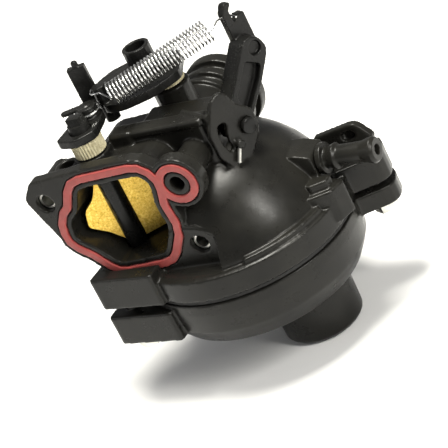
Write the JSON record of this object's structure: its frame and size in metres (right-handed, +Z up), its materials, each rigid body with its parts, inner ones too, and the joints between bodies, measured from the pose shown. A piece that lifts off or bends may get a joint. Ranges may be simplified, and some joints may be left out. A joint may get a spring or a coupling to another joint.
{
  "type": "carburetor",
  "caption": "Plastic-bodied float carburetor for a small engine, with choke, throttle and governor levers, domed float chamber and deep bowl.",
  "frame": {"origin": "in the middle of the throat opening, on the air-cleaner flange's front face", "axes": "-Y out of the air-cleaner flange, +X to its right seen from behind the flange, +Z up along the float bowl's axis"},
  "size_m": [0.1039, 0.0785, 0.1092],
  "materials": {
    "black_nylon": "satin, fine grain",
    "red_silicone": "matte",
    "zinc_steel": "zinc plated",
    "spring_steel": "bright",
    "brass": "stamped, speckled",
    "felt": "ribbed felt",
    "black_rubber": "matte",
    "float_plastic": "moulded"
  },
  "bodies": {
    "root": {"main_body": "black_nylon", "flange_seal": "red_silicone", "mounting_sleeve_left": "zinc_steel", "mounting_sleeve_right": "zinc_steel", "fuel_inlet_fitting": "black_nylon", "float_bowl": "black_nylon", "bowl_gasket": "black_rubber", "bowl_screw_front": "zinc_steel", "bowl_screw_rear": "zinc_steel", "float_pin": "zinc_steel", "needle_seat": "brass", "main_nozzle": "brass", "main_jet": "brass", "choke_shaft_seal": "felt", "throttle_shaft_seal": "felt", "governor_spring": "spring_steel", "lever_pivot_pin": "black_nylon", "speed_stop_pin": "zinc_steel"},
    "choke": {"choke_shaft": "black_nylon", "choke_plate": "brass", "choke_lever": "black_nylon", "choke_return_spring": "spring_steel"},
    "throttle": {"throttle_shaft": "black_nylon", "throttle_plate": "brass", "throttle_lever": "black_nylon"},
    "speed": {"speed_lever": "black_nylon"},
    "float_arm": {"float": "float_plastic"},
    "needle": {"inlet_needle": "brass"}
  },
  "joints": [
    {"name": "choke_turn", "type": "hinge", "parent": "root", "child": "choke", "pos_m": [-0.0078, 0.0115, 0], "axis": [0, 0, 1], "range_deg": [-30, 34]},
    {"name": "throttle_turn", "type": "hinge", "parent": "root", "child": "throttle", "pos_m": [0.0083, 0.0425, 0], "axis": [0, 0, 1], "range_deg": [-73, 0], "deforming": ["governor_spring"]},
    {"name": "speed_lever_turn", "type": "hinge", "parent": "root", "child": "speed", "pos_m": [0.0312, 0.03035, 0.0089], "axis": [0.8718, -0.4899, 0], "range_deg": [-8, 8]},
    {"name": "float_swing", "type": "hinge", "parent": "root", "child": "float_arm", "pos_m": [0.0476, 0.034, -0.0314], "axis": [0, 1, 0], "range_deg": [-4, 0]},
    {"name": "needle_slide", "type": "slide", "parent": "root", "child": "needle", "axis": [0, 0, 1], "range_m": [-0.0006, 0]}
  ],
  "couplings": [
    {"joint": "needle_slide", "follows": "float_swing", "m_per_rad": 0.0061}
  ]
}
